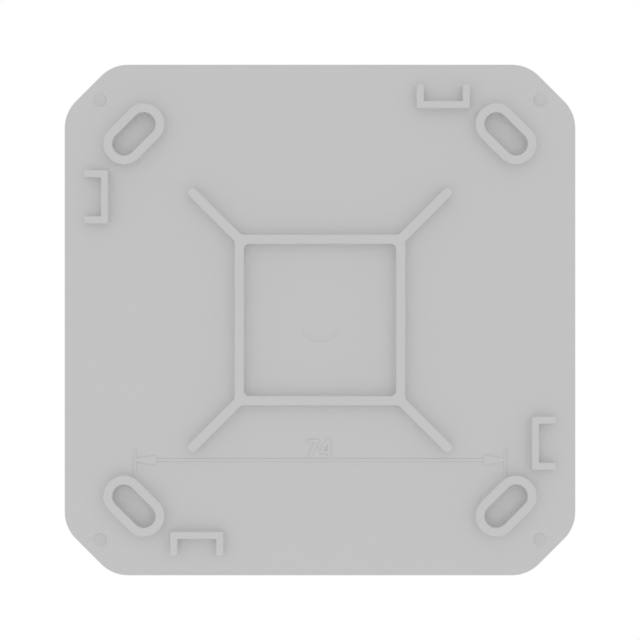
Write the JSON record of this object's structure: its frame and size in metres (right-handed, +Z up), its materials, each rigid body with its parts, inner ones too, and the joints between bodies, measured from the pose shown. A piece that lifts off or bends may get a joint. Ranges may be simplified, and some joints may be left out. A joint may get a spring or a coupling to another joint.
{
  "type": "ceiling access point",
  "caption": "Square wireless access point with cut corners that clips onto a ribbed rear plate for a ceiling or wall, powered through its network socket.",
  "frame": {"origin": "middle of the plane on which the rear plate's ribs rest against the ceiling or wall", "axes": "+X across the plate, +Z up it as its dimension mark reads, +Y out of the ceiling or wall towards the front face"},
  "size_m": [0.102, 0.0289, 0.102],
  "materials": {
    "base_plastic": "light grey moulded plastic with a fine even texture",
    "shell_plastic": "light grey moulded plastic with a fine even texture",
    "button_plastic": "light grey moulded plastic, satin",
    "light_pipe_plastic": "milky translucent plastic, polished",
    "switch_plastic": "black moulded plastic",
    "stem_plastic": "off-white moulded plastic",
    "board_laminate": "green solder mask over glass laminate",
    "screw_steel": "zinc-plated steel",
    "jack_steel": "bright stamped steel",
    "jack_plastic": "black moulded plastic",
    "contact_metal": "gold-flashed spring wire",
    "ferrite": "dark grey sintered ferrite",
    "coil_tape": "amber tape over the winding",
    "capacitor_sleeve": "dark shrunk sleeve",
    "chip_plastic": "black moulded epoxy",
    "can_steel": "tin-plated steel",
    "pad_rubber": "soft grey-blue filled silicone",
    "sink_aluminium": "extruded aluminium, clear anodised",
    "antenna_metal": "stamped and plated copper alloy",
    "lamp_plastic": "clear lamp body with a pale yellow fill"
  },
  "bodies": {
    "base": {"mounting_base": "base_plastic"},
    "unit": {"front_shell": "shell_plastic", "light_pipe": "light_pipe_plastic", "reset_switch_housing": "switch_plastic", "circuit_board": "board_laminate", "board_screw_1": "screw_steel", "board_screw_2": "screw_steel", "board_screw_3": "screw_steel", "board_screw_4": "screw_steel", "ethernet_jack_shield": "jack_steel", "ethernet_jack_core": "jack_plastic", "ethernet_jack_contacts": "contact_metal", "poe_transformer_core": "ferrite", "poe_transformer_coil": "coil_tape", "bulk_capacitor_1": "capacitor_sleeve", "bulk_capacitor_2": "capacitor_sleeve", "poe_choke": "ferrite", "lan_transformer": "chip_plastic", "bridge_rectifier_1": "chip_plastic", "bridge_rectifier_2": "chip_plastic", "poe_controller_chip": "chip_plastic", "processor_chip": "chip_plastic", "memory_chip": "chip_plastic", "flash_chip": "chip_plastic", "ethernet_phy_chip": "chip_plastic", "radio_chip": "chip_plastic", "crystal_can": "can_steel", "thermal_pad": "pad_rubber", "heat_sink": "sink_aluminium", "radio_shield_can": "can_steel", "antenna_low_band_left": "antenna_metal", "antenna_low_band_right": "antenna_metal", "antenna_high_band_left": "antenna_metal", "antenna_high_band_right": "antenna_metal", "status_led": "lamp_plastic"},
    "reset_button": {"reset_button_cap": "button_plastic"},
    "reset_switch": {"reset_switch_stem": "stem_plastic"}
  },
  "joints": [
    {"name": "unit_release", "type": "slide", "parent": "base", "child": "unit", "axis": [0, 1, 0], "range_m": [0, 0.04]},
    {"name": "reset_button_press", "type": "slide", "parent": "unit", "child": "reset_button", "axis": [0, 0, 1], "range_m": [0, 0.0005], "stiffness_N_per_m": 3000},
    {"name": "reset_switch_press", "type": "slide", "parent": "unit", "child": "reset_switch", "axis": [0, 0, 1], "range_m": [0, 0.0005]}
  ],
  "couplings": [
    {"joint": "reset_switch_press", "follows": "reset_button_press", "ratio": 1}
  ]
}
